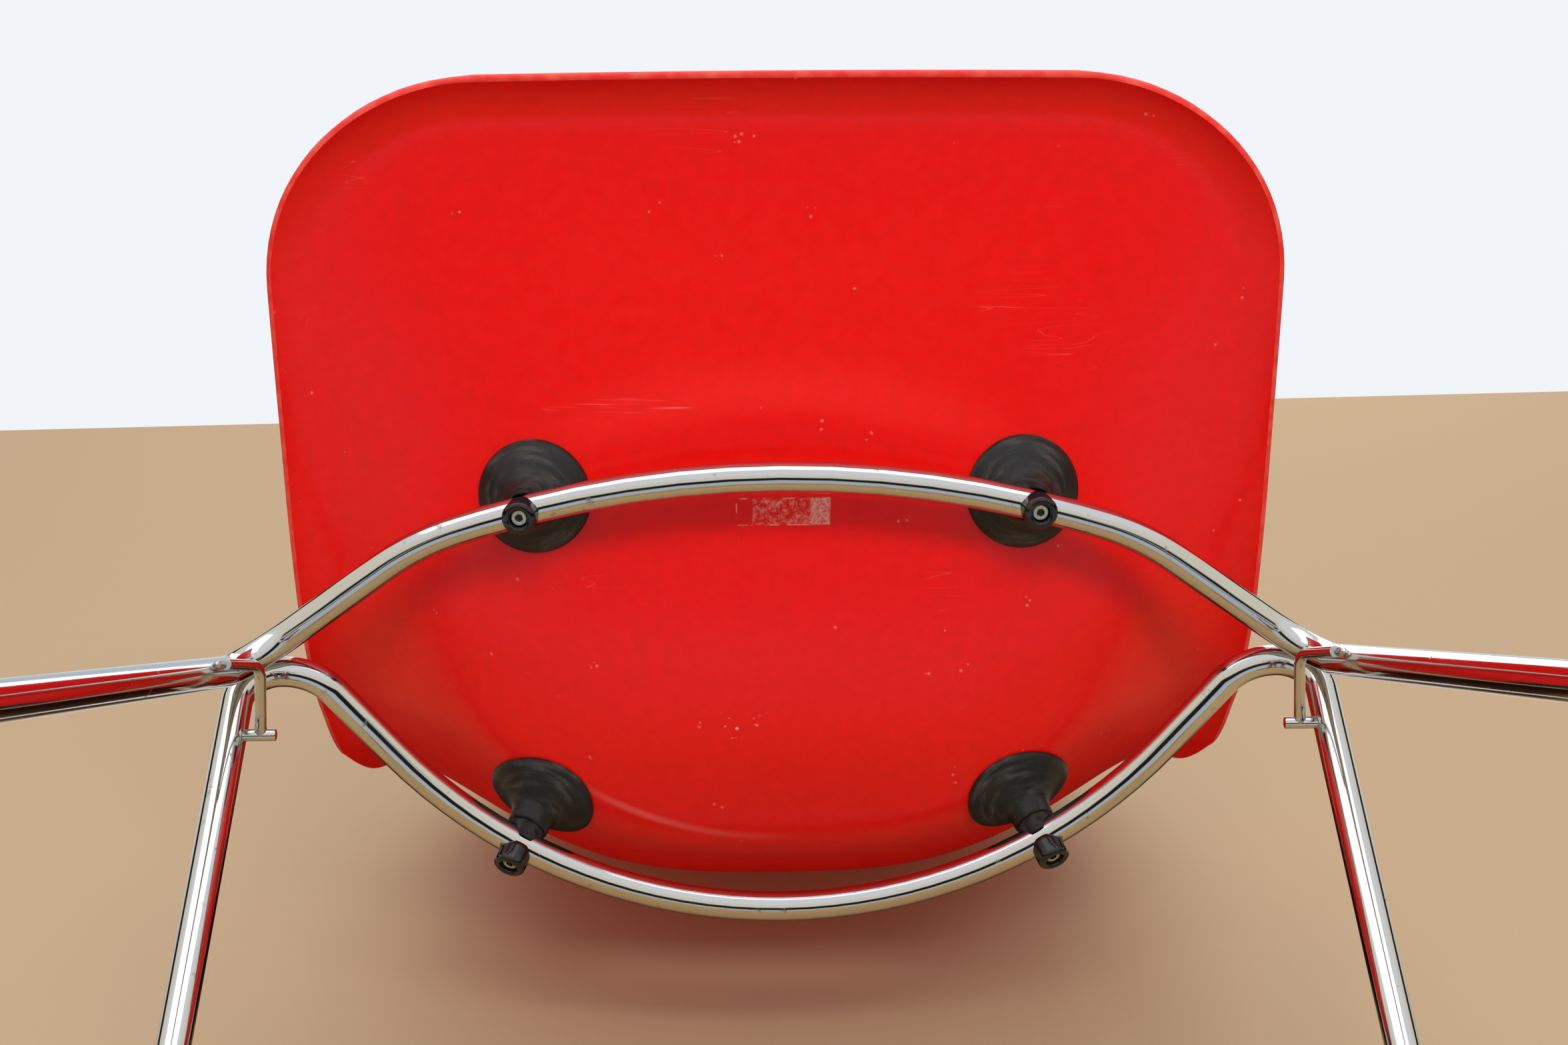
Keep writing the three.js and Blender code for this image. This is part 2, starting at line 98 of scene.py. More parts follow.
FRONT_MOUNT = {"x": 121.5, "back": 5, "inward": 5.5}
REAR_MOUNT = {"x": 132.5, "back": -27, "inward": 21}
DISC_RADIUS = 28.0
DISC_GAP = 0.15                   # between the disc and the shell
NECK_RADIUS = 10.5
SADDLE_RADIUS = 9.2
SADDLE_SKIRT = 5.5
SADDLE_TOP = 9.5
SADDLE_GAP = 0.15                 # between the saddle and the tube
BUMPER_RADIUS = 8.2
BUMPER_END = -15.5
BUMPER_TOP = -3.5
BUMPER_FLOOR = -9.2
BUMPER_GAP = 0.1                  # between the bumper and the tube
BUMPER_ROUNDING = 2.4
RECESS_RADIUS = 4.4
BOLT_HEAD_RADIUS = 3.8
BOLT_HEAD_HEIGHT = 4.0
BOLT_SOCKET_RADIUS = 2.0

HOOK_RADIUS = 2.7
HOOK_BEND = 12.0
HOOK_START = (253.2, -28.5, 320.0)
HOOK_CORNER = (244.0, -16.0, 345.0)
HOOK_END_X = 248.3
PIN_RADIUS = 2.9
PIN_Z = 350.0
PIN_TIP_X = 241.0
PIN_OFFSET = 2.6
HOOP_WELD_X = 252.5

GLIDE_RADIUS = 10.5
GLIDE_LENGTH = 30.0
GLIDE_PAD_RADIUS = 13.0
GLIDE_LEVEL_HEIGHT = 5.0          # below this a glide turns level with the floor

SIDES = (("left", -1), ("right", 1))

# ---------- camera ----------

CAMERA_PLACE = Vector((-0.013787, -0.442545, -0.586308))
CAMERA_FORWARD = Vector((0.015141, 0.358318, 0.933477))
CAMERA_UP = Vector((0.010632, -0.933589, 0.358189))
CAMERA_LENS = 50.0
CAMERA_SENSOR = 36.0


def make_camera():
    data = bpy.data.cameras.new("camera")
    data.lens = CAMERA_LENS
    data.sensor_width = CAMERA_SENSOR
    data.clip_start = 0.01
    camera = bpy.data.objects.new("camera", data)
    right = CAMERA_FORWARD.cross(CAMERA_UP).normalized()
    up = right.cross(CAMERA_FORWARD).normalized()
    turn = Matrix((right, up, -CAMERA_FORWARD)).transposed()
    camera.matrix_world = Matrix.Translation(CAMERA_PLACE) @ turn.to_4x4()
    bpy.context.scene.collection.objects.link(camera)
    bpy.context.scene.camera = camera


# ---------- node helpers ----------

class Nodes:
    """A short way to write a material's node tree."""

    def __init__(self, tree):
        self.tree = tree

    def add(self, kind, **settings):
        node = self.tree.nodes.new(kind)
        for key, value in settings.items():
            setattr(node, key, value)
        return node

    def link(self, source, target):
        self.tree.links.new(source, target)

    def fill(self, socket, value):
        if isinstance(value, bpy.types.NodeSocket):
            self.link(value, socket)
        else:
            socket.default_value = value

    def noise(self, vector, scale, detail=3.0, roughness=0.5):
        node = self.add("ShaderNodeTexNoise")
        self.fill(node.inputs["Vector"], vector)
        node.inputs["Scale"].default_value = scale
        node.inputs["Detail"].default_value = detail
        node.inputs["Roughness"].default_value = roughness
        return node.outputs["Fac"]

    def band(self, value, low, high, to_low=0.0, to_high=1.0):
        node = self.add("ShaderNodeMapRange", clamp=True)
        self.fill(node.inputs["Value"], value)
        node.inputs["From Min"].default_value = low
        node.inputs["From Max"].default_value = high
        node.inputs["To Min"].default_value = to_low
        node.inputs["To Max"].default_value = to_high
        return node.outputs["Result"]

    def math(self, operation, first, second=0.0):
        node = self.add("ShaderNodeMath", operation=operation)
        self.fill(node.inputs[0], first)
        self.fill(node.inputs[1], second)
        return node.outputs[0]

    def mix(self, factor, first, second):
        node = self.add("ShaderNodeMix", data_type="RGBA")
        self.fill(node.inputs["Factor"], factor)
        self.fill(node.inputs[6], first)
        self.fill(node.inputs[7], second)
        return node.outputs[2]

    def split(self, vector):
        """The X, Y and Z of a vector."""
        node = self.add("ShaderNodeSeparateXYZ")
        self.fill(node.inputs[0], vector)
        return node.outputs["X"], node.outputs["Y"], node.outputs["Z"]

    def stretched(self, vector, scale, turn=(0.0, 0.0, 0.0)):
        node = self.add("ShaderNodeMapping")
        self.fill(node.inputs["Vector"], vector)
        node.inputs["Scale"].default_value = scale
        node.inputs["Rotation"].default_value = turn
        return node.outputs["Vector"]

    def bump(self, height, strength, distance, below=None):
        node = self.add("ShaderNodeBump")
        self.fill(node.inputs["Height"], height)
        node.inputs["Strength"].default_value = strength
        node.inputs["Distance"].default_value = distance
        if below is not None:
            self.link(below, node.inputs["Normal"])
        return node.outputs["Normal"]


def new_material(name):
    """Returns the material, its node helper, its shader and the object coordinates."""
    material = bpy.data.materials.new(name)
    material.use_nodes = True
    nodes = Nodes(material.node_tree)
    shader = material.node_tree.nodes["Principled BSDF"]
    place = nodes.add("ShaderNodeTexCoord").outputs["Object"]
    return material, nodes, shader, place


# ---------- materials ----------

RED = (0.84, 0.0025, 0.0012, 1.0)
RED_DEEP = (0.78, 0.0022, 0.0011, 1.0)
RED_WORN = (0.86, 0.16, 0.12, 1.0)
# pale marks, and the colour of the painted crease highlight
PALE_MARK_AND_HIGHLIGHT = (0.84, 0.56, 0.46, 1.0)
SCRATCH_STRENGTH = 0.5
MARK_AND_HIGHLIGHT_STRENGTH = 0.75

# Places of the marks on the underside, and of a painted highlight along the bowl's rear crease, in metres.
FLECKS_CENTRE = (-0.024, 0.043)
FLECKS_SIZE = (0.036, 0.017)
SCUFF_CENTRE = (-0.078, -0.119)
SCUFF_SIZE = (0.075, 0.009)
LABEL_CENTRE = (0.002, -0.067)
LABEL_SIZE = (0.0465, 0.0138)
LABEL_INNER_SIZE = (0.0453, 0.0126)
TORN_CENTRE = (0.003, -0.067)
TORN_SIZE = (0.033, 0.0135)
BLOCK_CENTRE = (0.0200, -0.067)
BLOCK_SIZE = (0.0100, 0.0136)
# painted highlight: a thin pale line along the bowl's rear crease
CREASE_Y = 0.1135
CREASE_BEND = 3.36
CREASE_HIGHLIGHT_STRENGTH = 0.19


def shell_material(name, worn_and_highlit):
    """Satin red plastic: faint mottle, fine grain, thin scratches; pale marks and a painted highlight on the
    worn side.
    """
    material, nodes, shader, place = new_material(name)
    mottle = nodes.noise(place, 170.0, detail=5.0)
    grain = nodes.noise(place, 900.0, detail=2.0)
    colour = nodes.mix(nodes.band(mottle, 0.35, 0.68), RED_DEEP, RED)
    scratches = scratch_mask(nodes, place)
    colour = nodes.mix(nodes.math("MULTIPLY", scratches, SCRATCH_STRENGTH), colour, RED_WORN)
    if worn_and_highlit:
        marks = nodes.math("MAXIMUM", fleck_mask(nodes, place), residue_mask(nodes, place))
        marks = nodes.math("MAXIMUM", marks, scuff_mask(nodes, place))
        # painted highlight: the pale crease line is mixed in with the real marks
        marks = nodes.math("MAXIMUM", marks, crease_highlight_mask(nodes, place))
        colour = nodes.mix(nodes.math("MULTIPLY", marks, MARK_AND_HIGHLIGHT_STRENGTH), colour, PALE_MARK_AND_HIGHLIGHT)
    nodes.link(colour, shader.inputs["Base Color"])
    roughness = nodes.band(nodes.noise(place, 130.0), 0.3, 0.7, 0.29, 0.36)
    nodes.link(roughness, shader.inputs["Roughness"])
    fine = nodes.bump(grain, 0.10, 0.0003)
    nodes.link(nodes.bump(scratches, 0.12, 0.0002, fine), shader.inputs["Normal"])
    shader.inputs["Specular IOR Level"].default_value = 0.36
    return material


def scratch_mask(nodes, place):
    """Thin, broken lines in three directions."""
    total = None
    for turn, scale, offset in ((0.25, 14.0, 0.0), (-0.5, 11.0, 3.0), (1.1, 9.0, 7.0)):
        long_way = nodes.stretched(place, (1.0, 42.0, 42.0), (0.0, 0.0, turn))
        line = nodes.noise(long_way, scale * 0.6, detail=0.0)
        thin = nodes.band(nodes.math("ABSOLUTE", nodes.math("SUBTRACT", line, 0.5)), 0.0, 0.0035, 1.0, 0.0)
        moved = nodes.add("ShaderNodeVectorMath", operation="ADD")
        nodes.link(place, moved.inputs[0])
        moved.inputs[1].default_value = (offset, offset, offset)
        where = nodes.band(nodes.noise(moved.outputs[0], 11.0, detail=1.0), 0.66, 0.72)
        streak = nodes.math("MULTIPLY", thin, where)
        total = streak if total is None else nodes.math("MAXIMUM", total, streak)
    return total


def patch_mask(nodes, place, centre, size, soft=0.002):
    """1 inside a rectangle in plan, in metres, with soft edges."""
    inside = None
    for value, middle, width in zip(nodes.split(place), centre, size):
        away = nodes.math("ABSOLUTE", nodes.math("SUBTRACT", value, middle))
        strip = nodes.band(away, width / 2 - soft, width / 2, 1.0, 0.0)
        inside = strip if inside is None else nodes.math("MULTIPLY", inside, strip)
    return inside


def fleck_mask(nodes, place):
    """A sprinkle of tiny pale chips, thickest in one place under the seat."""
    cells = nodes.add("ShaderNodeTexVoronoi")
    nodes.link(place, cells.inputs["Vector"])
    cells.inputs["Scale"].default_value = 260.0
    dot = nodes.band(cells.outputs["Distance"], 0.16, 0.26, 1.0, 0.0)
    sparse = nodes.band(nodes.noise(place, 60.0, detail=1.0), 0.70, 0.72)
    cluster = nodes.math("MULTIPLY", patch_mask(nodes, place, FLECKS_CENTRE, FLECKS_SIZE, 0.004),
                         nodes.band(nodes.noise(place, 190.0, detail=2.0), 0.52, 0.56))
    return nodes.math("MULTIPLY", dot, nodes.math("MAXIMUM", nodes.math("MULTIPLY", sparse, 0.3), cluster))


def residue_mask(nodes, place):
    """Broken pale film left where a small label was peeled off."""
    grit = nodes.noise(place, 900.0, detail=4.0, roughness=0.7)
    torn = nodes.band(nodes.noise(place, 360.0, detail=8.0, roughness=0.9), 0.49, 0.60, 0.0, 0.8)
    torn = nodes.math("MULTIPLY", torn, patch_mask(nodes, place, TORN_CENTRE, TORN_SIZE, 0.0012))
    whole = patch_mask(nodes, place, LABEL_CENTRE, LABEL_SIZE, 0.0003)
    inner = patch_mask(nodes, place, LABEL_CENTRE, LABEL_INNER_SIZE, 0.0003)
    outline = nodes.math("MULTIPLY", nodes.math("SUBTRACT", whole, inner),
                         nodes.band(nodes.noise(place, 150.0), 0.46, 0.56, 0.0, 0.6))
    block = patch_mask(nodes, place, BLOCK_CENTRE, BLOCK_SIZE, 0.0006)
    block = nodes.math("MULTIPLY", block, nodes.band(grit, 0.34, 0.62, 0.0, 1.0))
    return nodes.math("MAXIMUM", nodes.math("MAXIMUM", torn, outline), block)


def crease_highlight_mask(nodes, place):
    """A painted highlight: a thin pale line along the rear left edge of the bowl."""
    x, y, _ = nodes.split(place)
    bend = nodes.math("MULTIPLY", nodes.math("MULTIPLY", x, x), CREASE_BEND)
    curve = nodes.math("SUBTRACT", CREASE_Y, bend)
    away = nodes.math("ABSOLUTE", nodes.math("SUBTRACT", y, curve))
    line = nodes.band(away, 0.0004, 0.0034, 1.0, 0.0)
    ends = nodes.math("MULTIPLY", nodes.band(x, -0.108, -0.080), nodes.band(x, -0.062, 0.012, 1.0, 0.0))
    return nodes.math("MULTIPLY", nodes.math("MULTIPLY", line, ends), CREASE_HIGHLIGHT_STRENGTH)


def scuff_mask(nodes, place):
    """A band of fine rubbing marks beside the left front mount."""
    inside = patch_mask(nodes, place, SCUFF_CENTRE, SCUFF_SIZE, 0.004)
    lines = nodes.noise(nodes.stretched(place, (25.0, 900.0, 25.0)), 1.0, detail=2.0)
    return nodes.math("MULTIPLY", inside, nodes.band(lines, 0.60, 0.72, 0.0, 0.22))


def rim_material():
    """The moulded edge of the shell, a little paler and rougher than its faces."""
    material, nodes, shader, place = new_material("shell_rim")
    wear = nodes.band(nodes.noise(place, 120.0, detail=4.0), 0.4, 0.75)
    colour = nodes.mix(wear, (0.74, 0.020, 0.012, 1.0), (0.82, 0.09, 0.06, 1.0))
    nodes.link(colour, shader.inputs["Base Color"])
    nodes.link(nodes.band(wear, 0.0, 1.0, 0.42, 0.6), shader.inputs["Roughness"])
    nodes.link(nodes.bump(nodes.noise(place, 700.0), 0.2, 0.0002), shader.inputs["Normal"])
    return material


def chrome_material():
    """Bright chrome plate with fine rubbing marks and a few dull spots."""
    material, nodes, shader, place = new_material("chrome_plate")
    spots = nodes.band(nodes.noise(place, 160.0, detail=5.0), 0.66, 0.74)
    haze = nodes.noise(place, 22.0, detail=3.0)
    colour = nodes.mix(spots, (0.60, 0.60, 0.59, 1.0), (0.40, 0.37, 0.33, 1.0))
    nodes.link(colour, shader.inputs["Base Color"])
    rough = nodes.math("ADD", nodes.band(haze, 0.3, 0.7, 0.05, 0.11), nodes.math("MULTIPLY", spots, 0.25))
    nodes.link(rough, shader.inputs["Roughness"])
    shader.inputs["Metallic"].default_value = 1.0
    rubbed = nodes.noise(nodes.stretched(place, (30.0, 400.0, 400.0)), 3.0, detail=2.0)
    fine = nodes.bump(rubbed, 0.015, 0.0002)
    pits = nodes.bump(spots, 0.15, 0.0001, fine)
    nodes.link(pits, shader.inputs["Normal"])
    return material


def weld_material():
    """Chromed weld metal: lumpy and darker in its hollows."""
    material, nodes, shader, place = new_material("weld_bead")
    lumps = nodes.noise(place, 500.0, detail=4.0)
    colour = nodes.mix(nodes.band(lumps, 0.35, 0.6), (0.20, 0.17, 0.15, 1.0), (0.75, 0.74, 0.72, 1.0))
    nodes.link(colour, shader.inputs["Base Color"])
    shader.inputs["Metallic"].default_value = 1.0
    nodes.link(nodes.band(lumps, 0.3, 0.7, 0.5, 0.15), shader.inputs["Roughness"])
    nodes.link(nodes.bump(lumps, 0.6, 0.0006), shader.inputs["Normal"])
    return material


def axis_distance(nodes, place):
    """Distance from the local Z axis."""
    x, y, _ = nodes.split(place)
    return nodes.math("SQRT", nodes.math("ADD", nodes.math("MULTIPLY", x, x), nodes.math("MULTIPLY", y, y)))


def ringed_dust(nodes, place):
    """Streaks that run round the local Z axis."""
    x, y, _ = nodes.split(place)
    radius = axis_distance(nodes, place)
    angle = nodes.math("ARCTAN2", y, x)
    polar = nodes.add("ShaderNodeCombineXYZ")
    nodes.link(nodes.math("MULTIPLY", radius, 420.0), polar.inputs["X"])
    nodes.link(nodes.math("MULTIPLY", angle, 1.1), polar.inputs["Y"])
    return nodes.noise(polar.outputs[0], 1.0, detail=5.0, roughness=0.6)


def mount_material():
    """Black rubber with grey dust wiped round the disc."""
    material, nodes, shader, place = new_material("mount_rubber")
    rings = ringed_dust(nodes, place)
    patches = nodes.noise(place, 55.0, detail=3.0)
    dust = nodes.math("MULTIPLY", nodes.band(rings, 0.46, 0.78), nodes.band(patches, 0.38, 0.66))
    colour = nodes.mix(dust, (0.009, 0.009, 0.009, 1.0), (0.11, 0.105, 0.088, 1.0))
    nodes.link(colour, shader.inputs["Base Color"])
    nodes.link(nodes.band(dust, 0.0, 1.0, 0.42, 0.75), shader.inputs["Roughness"])
    shader.inputs["Specular IOR Level"].default_value = 0.35
    low = nodes.bump(rings, 0.12, 0.0003)
    nodes.link(nodes.bump(nodes.noise(place, 1500.0), 0.08, 0.0001, low), shader.inputs["Normal"])
    return material


def saddle_material():
    """Dull black rubber with a little grime."""
    material, nodes, shader, place = new_material("saddle_rubber")
    grime = nodes.band(nodes.noise(place, 250.0, detail=3.0), 0.4, 0.7)
    colour = nodes.mix(grime, (0.008, 0.008, 0.008, 1.0), (0.035, 0.033, 0.03, 1.0))
    nodes.link(colour, shader.inputs["Base Color"])
    nodes.link(nodes.band(grime, 0.0, 1.0, 0.5, 0.7), shader.inputs["Roughness"])
    shader.inputs["Specular IOR Level"].default_value = 0.2
    return material


def bumper_material():
    """Glossy black moulding, slightly scuffed."""
    material, nodes, shader, place = new_material("bumper_black")
    scuff = nodes.band(nodes.noise(place, 240.0, detail=5.0), 0.60, 0.75)
    colour = nodes.mix(scuff, (0.004, 0.004, 0.005, 1.0), (0.035, 0.033, 0.03, 1.0))
    nodes.link(colour, shader.inputs["Base Color"])
    nodes.link(nodes.band(scuff, 0.0, 1.0, 0.12, 0.45), shader.inputs["Roughness"])
    nodes.link(nodes.bump(nodes.noise(place, 500.0), 0.05, 0.0002), shader.inputs["Normal"])
    return material


def zinc_material():
    """Zinc-plated steel with a dull grey-yellow bloom, and painted shade in the bolt's hexagon socket."""
    material, nodes, shader, place = new_material("zinc_plate")
    bloom = nodes.band(nodes.noise(place, 420.0, detail=4.0), 0.35, 0.7)
    colour = nodes.mix(bloom, (0.62, 0.60, 0.52, 1.0), (0.40, 0.37, 0.30, 1.0))
    # painted shade: darker within the bolt's hexagon socket, near its axis
    socket = nodes.band(axis_distance(nodes, place), 0.0017, 0.0021, 1.0, 0.0)
    colour = nodes.mix(socket, colour, (0.03, 0.045, 0.045, 1.0))
    nodes.link(colour, shader.inputs["Base Color"])
    shader.inputs["Metallic"].default_value = 0.85
    nodes.link(nodes.band(bloom, 0.0, 1.0, 0.28, 0.5), shader.inputs["Roughness"])
    nodes.link(nodes.bump(bloom, 0.15, 0.0002), shader.inputs["Normal"])
    return material


def glide_material():
    """Black plastic foot, rubbed grey where it meets the floor."""
    material, nodes, shader, place = new_material("glide_plastic")
    _, _, height = nodes.split(place)
    near_floor = nodes.band(height, 0.0, 0.008, 1.0, 0.0)
    patches = nodes.band(nodes.noise(place, 300.0, detail=4.0), 0.4, 0.6)
    rub = nodes.math("MULTIPLY", near_floor, patches)
    colour = nodes.mix(rub, (0.014, 0.014, 0.014, 1.0), (0.10, 0.095, 0.09, 1.0))
    nodes.link(colour, shader.inputs["Base Color"])
    nodes.link(nodes.band(rub, 0.0, 1.0, 0.42, 0.7), shader.inputs["Roughness"])
    nodes.link(nodes.bump(nodes.noise(place, 900.0), 0.12, 0.0002), shader.inputs["Normal"])
    return material


# ---------- mesh helpers ----------

def add_piece(name, vertices, faces, material, slot, nodes, place=None, sharp=35.0):
    """Adds a piece that stands for CAD nodes. vertices are in millimetres, in the frame `place`."""
    mesh = bpy.data.meshes.new(name)
    mesh.from_pydata([tuple(float(c) * MM for c in v) for v in vertices], [], faces)
    mesh.validate()
    mesh.shade_smooth()
    mesh.set_sharp_from_angle(angle=math.radians(sharp))
    mesh.materials.append(material)
    piece = bpy.data.objects.new(name, mesh)
    if place is not None:
        piece.matrix_world = in_metres(place)
    bpy.context.scene.collection.objects.link(piece)
    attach(piece, "root")
    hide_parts(*nodes)
    return piece


def in_metres(place):
    scaled = place.copy()
    scaled.translation = scaled.translation * MM
    return scaled


def ring_faces(rings, sides, closed_ends=True):
    """Quads between successive rings of `sides` vertices, with a flat cap at each end."""
    faces = []
    for i in range(rings - 1):
        for j in range(sides):
            k = (j + 1) % sides
            faces.append((i * sides + j, i * sides + k, (i + 1) * sides + k, (i + 1) * sides + j))
    if closed_ends:
        faces.append(tuple(reversed(range(sides))))
        faces.append(tuple(range((rings - 1) * sides, rings * sides)))
    return faces


def circle(radius, heights):
    """Vertices round +Z, one for each height in turn."""
    vertices = []
    for j, height in enumerate(heights):
        angle = 2 * math.pi * j / len(heights)
        vertices.append((radius * math.cos(angle), radius * math.sin(angle), height))
    return vertices


def turned(profile, sides):
    """Body of revolution about +Z from (radius, height) pairs, listed from the bottom up."""
    vertices = []
    for radius, height in profile:
        vertices += circle(radius, [height] * sides)
    return vertices, ring_faces(len(profile), sides)


def arc(centre, radius, start, stop, steps):
    """Points (radius, height) on an arc, with angles in degrees."""
    points = []
    for i in range(steps + 1):
        angle = math.radians(start + (stop - start) * i / steps)
        points.append((centre[0] + radius * math.cos(angle), centre[1] + radius * math.sin(angle)))
    return points


def swept(path, radius, sides=TUBE_SIDES, shape=None):
    """Tube along a path. shape(point, outward) may give another radius at a vertex."""
    vertices = []
    tangent = (path[1] - path[0]).normalized()
    side = tangent.orthogonal().normalized()
    for i, point in enumerate(path):
        before = path[max(i - 1, 0)]
        after = path[min(i + 1, len(path) - 1)]
        new_tangent = (after - before).normalized()
        side = tangent.rotation_difference(new_tangent) @ side
        tangent = new_tangent
        other = tangent.cross(side)
        for j in range(sides):
            angle = 2 * math.pi * j / sides
            outward = side * math.cos(angle) + other * math.sin(angle)
            reach = shape(point, outward) if shape else radius
            vertices.append(point + outward * reach)
    return vertices, ring_faces(len(path), sides)


def rounded_path(corners, degrees_per_step=3.0, straight_step=12.0):
    """Polyline with each inner corner (point, radius) rounded, and straight runs divided."""
    marks = [corners[0][0]]
    for (before, _), (point, radius), (after, _) in zip(corners, corners[1:], corners[2:]):
        to_last = (before - point).normalized()
        to_next = (after - point).normalized()
        half = to_last.angle(to_next) / 2
        turn = math.pi - 2 * half
        centre = point + (to_last + to_next).normalized() * (radius / math.sin(half))
        start = point + to_last * (radius / math.tan(half)) - centre
        axis = to_next.cross(to_last).normalized()
        steps = max(2, math.ceil(math.degrees(turn) / degrees_per_step))
        for k in range(steps + 1):
            marks.append(centre + Quaternion(axis, turn * k / steps) @ start)
    marks.append(corners[-1][0])
    path = [marks[0]]
    for a, b in zip(marks, marks[1:]):
        pieces = max(1, round((b - a).length / straight_step))
        path.extend(a.lerp(b, (k + 1) / pieces) for k in range(pieces))
    return path


# ---------- shell ----------

def catmull(points, t):
    """Uniform Catmull-Rom curve through points, for an array of t from 0 to 1."""
    padded = np.vstack([2 * points[0] - points[1], points, 2 * points[-1] - points[-2]])
    along = np.clip(t, 0, 1) * (len(points) - 1)
    i = np.minimum(along.astype(int), len(points) - 2)
    w = (along - i)[..., None]
    p0, p1, p2, p3 = (padded[i + k] for k in range(4))
    m1, m2 = (p2 - p0) / 2, (p3 - p1) / 2
    return p1 + m1 * w + (3 * (p2 - p1) - 2 * m1 - m2) * w ** 2 + (2 * (p1 - p2) + m1 + m2) * w ** 3


PROFILE = SHELL_STATIONS[:, :2]
SECTION = SHELL_STATIONS[:, 2:]
_samples = catmull(PROFILE, np.linspace(0, 1, 201))
SHELL_LENGTH = float(np.linalg.norm(np.diff(_samples, axis=0), axis=1).sum())


def rim_distance(along, across, half):
    x = np.abs(across) - (half - SHELL_CORNER_RADIUS)
    y = np.abs(along - SHELL_LENGTH / 2) - (SHELL_LENGTH / 2 - SHELL_CORNER_RADIUS)
    outside = np.hypot(np.maximum(x, 0), np.maximum(y, 0))
    return SHELL_CORNER_RADIUS - outside - np.minimum(np.maximum(x, y), 0)


def smooth_step(x, low, high):
    x = np.clip((x - low) / (high - low), 0, 1)
    return x * x * (3 - 2 * x)


def shell_point(along, across):
    """Point of the shell's underside, for arrays of distances along and across it."""
    t = np.clip(along / SHELL_LENGTH, 0, 1)
    lift, half, sharpness = np.moveaxis(catmull(SECTION, t), -1, 0)
    side = across / half
    bow = SHELL_FRONT_BOW * side ** 2 * (1 - t) ** 12 - SHELL_TOP_ARCH * side ** 2 * t ** 6
    shifted = np.clip((along + bow) / SHELL_LENGTH, 0, 1)
    centre = catmull(PROFILE, shifted)
    ahead = catmull(PROFILE, np.clip(shifted + 1e-4, 0, 1)) - catmull(PROFILE, np.clip(shifted - 1e-4, 0, 1))
    tangent = ahead / np.linalg.norm(ahead, axis=-1, keepdims=True)
    wing = lift * np.sin(np.pi / 2 * np.minimum(np.abs(side), 1) ** sharpness) ** 2
    drop = SEAT_LIP_DROP + (BACK_LIP_DROP - SEAT_LIP_DROP) * smooth_step(t, 0.45, 0.65)
    roll = np.clip(1 - rim_distance(along, across, half) / LIP_WIDTH, 0, 1)
    ring = np.hypot(across / BOWL_RADIUS_X, (centre[..., 0] - BOWL_CENTRE_Y) / BOWL_RADIUS_Y)
    shoulder = BOWL_SHOULDER * np.exp(-((ring - 1) / BOWL_SOFTNESS) ** 2)
    rise = wing - drop * roll ** 2 - shoulder
    y = centre[..., 0] - tangent[..., 1] * rise
    z = centre[..., 1] + tangent[..., 0] * rise
    return np.stack([across, y, z], -1)


def shell_normal(along, across, step=0.5):
    """Unit normal of the underside, pointing to the sitter's side."""
    x_step = shell_point(along, across + step) - shell_point(along, across - step)
    ahead = np.minimum(along + step, SHELL_LENGTH)
    behind = np.maximum(along - step, 0)
    y_step = shell_point(ahead, across) - shell_point(behind, across)
    normal = np.cross(x_step, y_step)
    return normal / np.linalg.norm(normal, axis=-1, keepdims=True)


def shell_rows():
    quarter = np.arange(SHELL_CORNER_ROWS) / SHELL_CORNER_ROWS
    corner = SHELL_CORNER_RADIUS * (1 - np.cos(np.pi / 2 * quarter))
    middle = np.linspace(SHELL_CORNER_RADIUS, SHELL_LENGTH - SHELL_CORNER_RADIUS, SHELL_MIDDLE_ROWS + 1)
    return np.concatenate([corner, middle, (SHELL_LENGTH - corner)[::-1]])


def row_half_width(along):
    half = catmull(SECTION, along / SHELL_LENGTH)[..., 1]
    inset = SHELL_CORNER_RADIUS - np.minimum(np.minimum(along, SHELL_LENGTH - along), SHELL_CORNER_RADIUS)
    return half - SHELL_CORNER_RADIUS + np.sqrt(SHELL_CORNER_RADIUS ** 2 - inset ** 2)


def rim_walk(last):
    """Row and column of each vertex round the edge of the shell, whose last row is given."""
    walk = [(0, j) for j in range(SHELL_COLUMNS)]
    walk += [(i, SHELL_COLUMNS) for i in range(last)]
    walk += [(last, j) for j in range(SHELL_COLUMNS, 0, -1)]
    walk += [(i, 0) for i in range(last, 0, -1)]
    return walk


def rim_points(walk, under, over, normal, part):
    """A line round the rounded edge, part of the way from the underside to the top."""
    bulge = RIM_BULGE * math.sin(math.pi * part)
    points = []
    for k, (i, j) in enumerate(walk):
        before, after = walk[k - 1], walk[(k + 1) % len(walk)]
        along_rim = Vector(under[after] - under[before])
        outward = along_rim.cross(Vector(normal[i, j])).normalized()
        points.append(Vector(under[i, j]).lerp(Vector(over[i, j]), part) + outward * bulge)
    return points


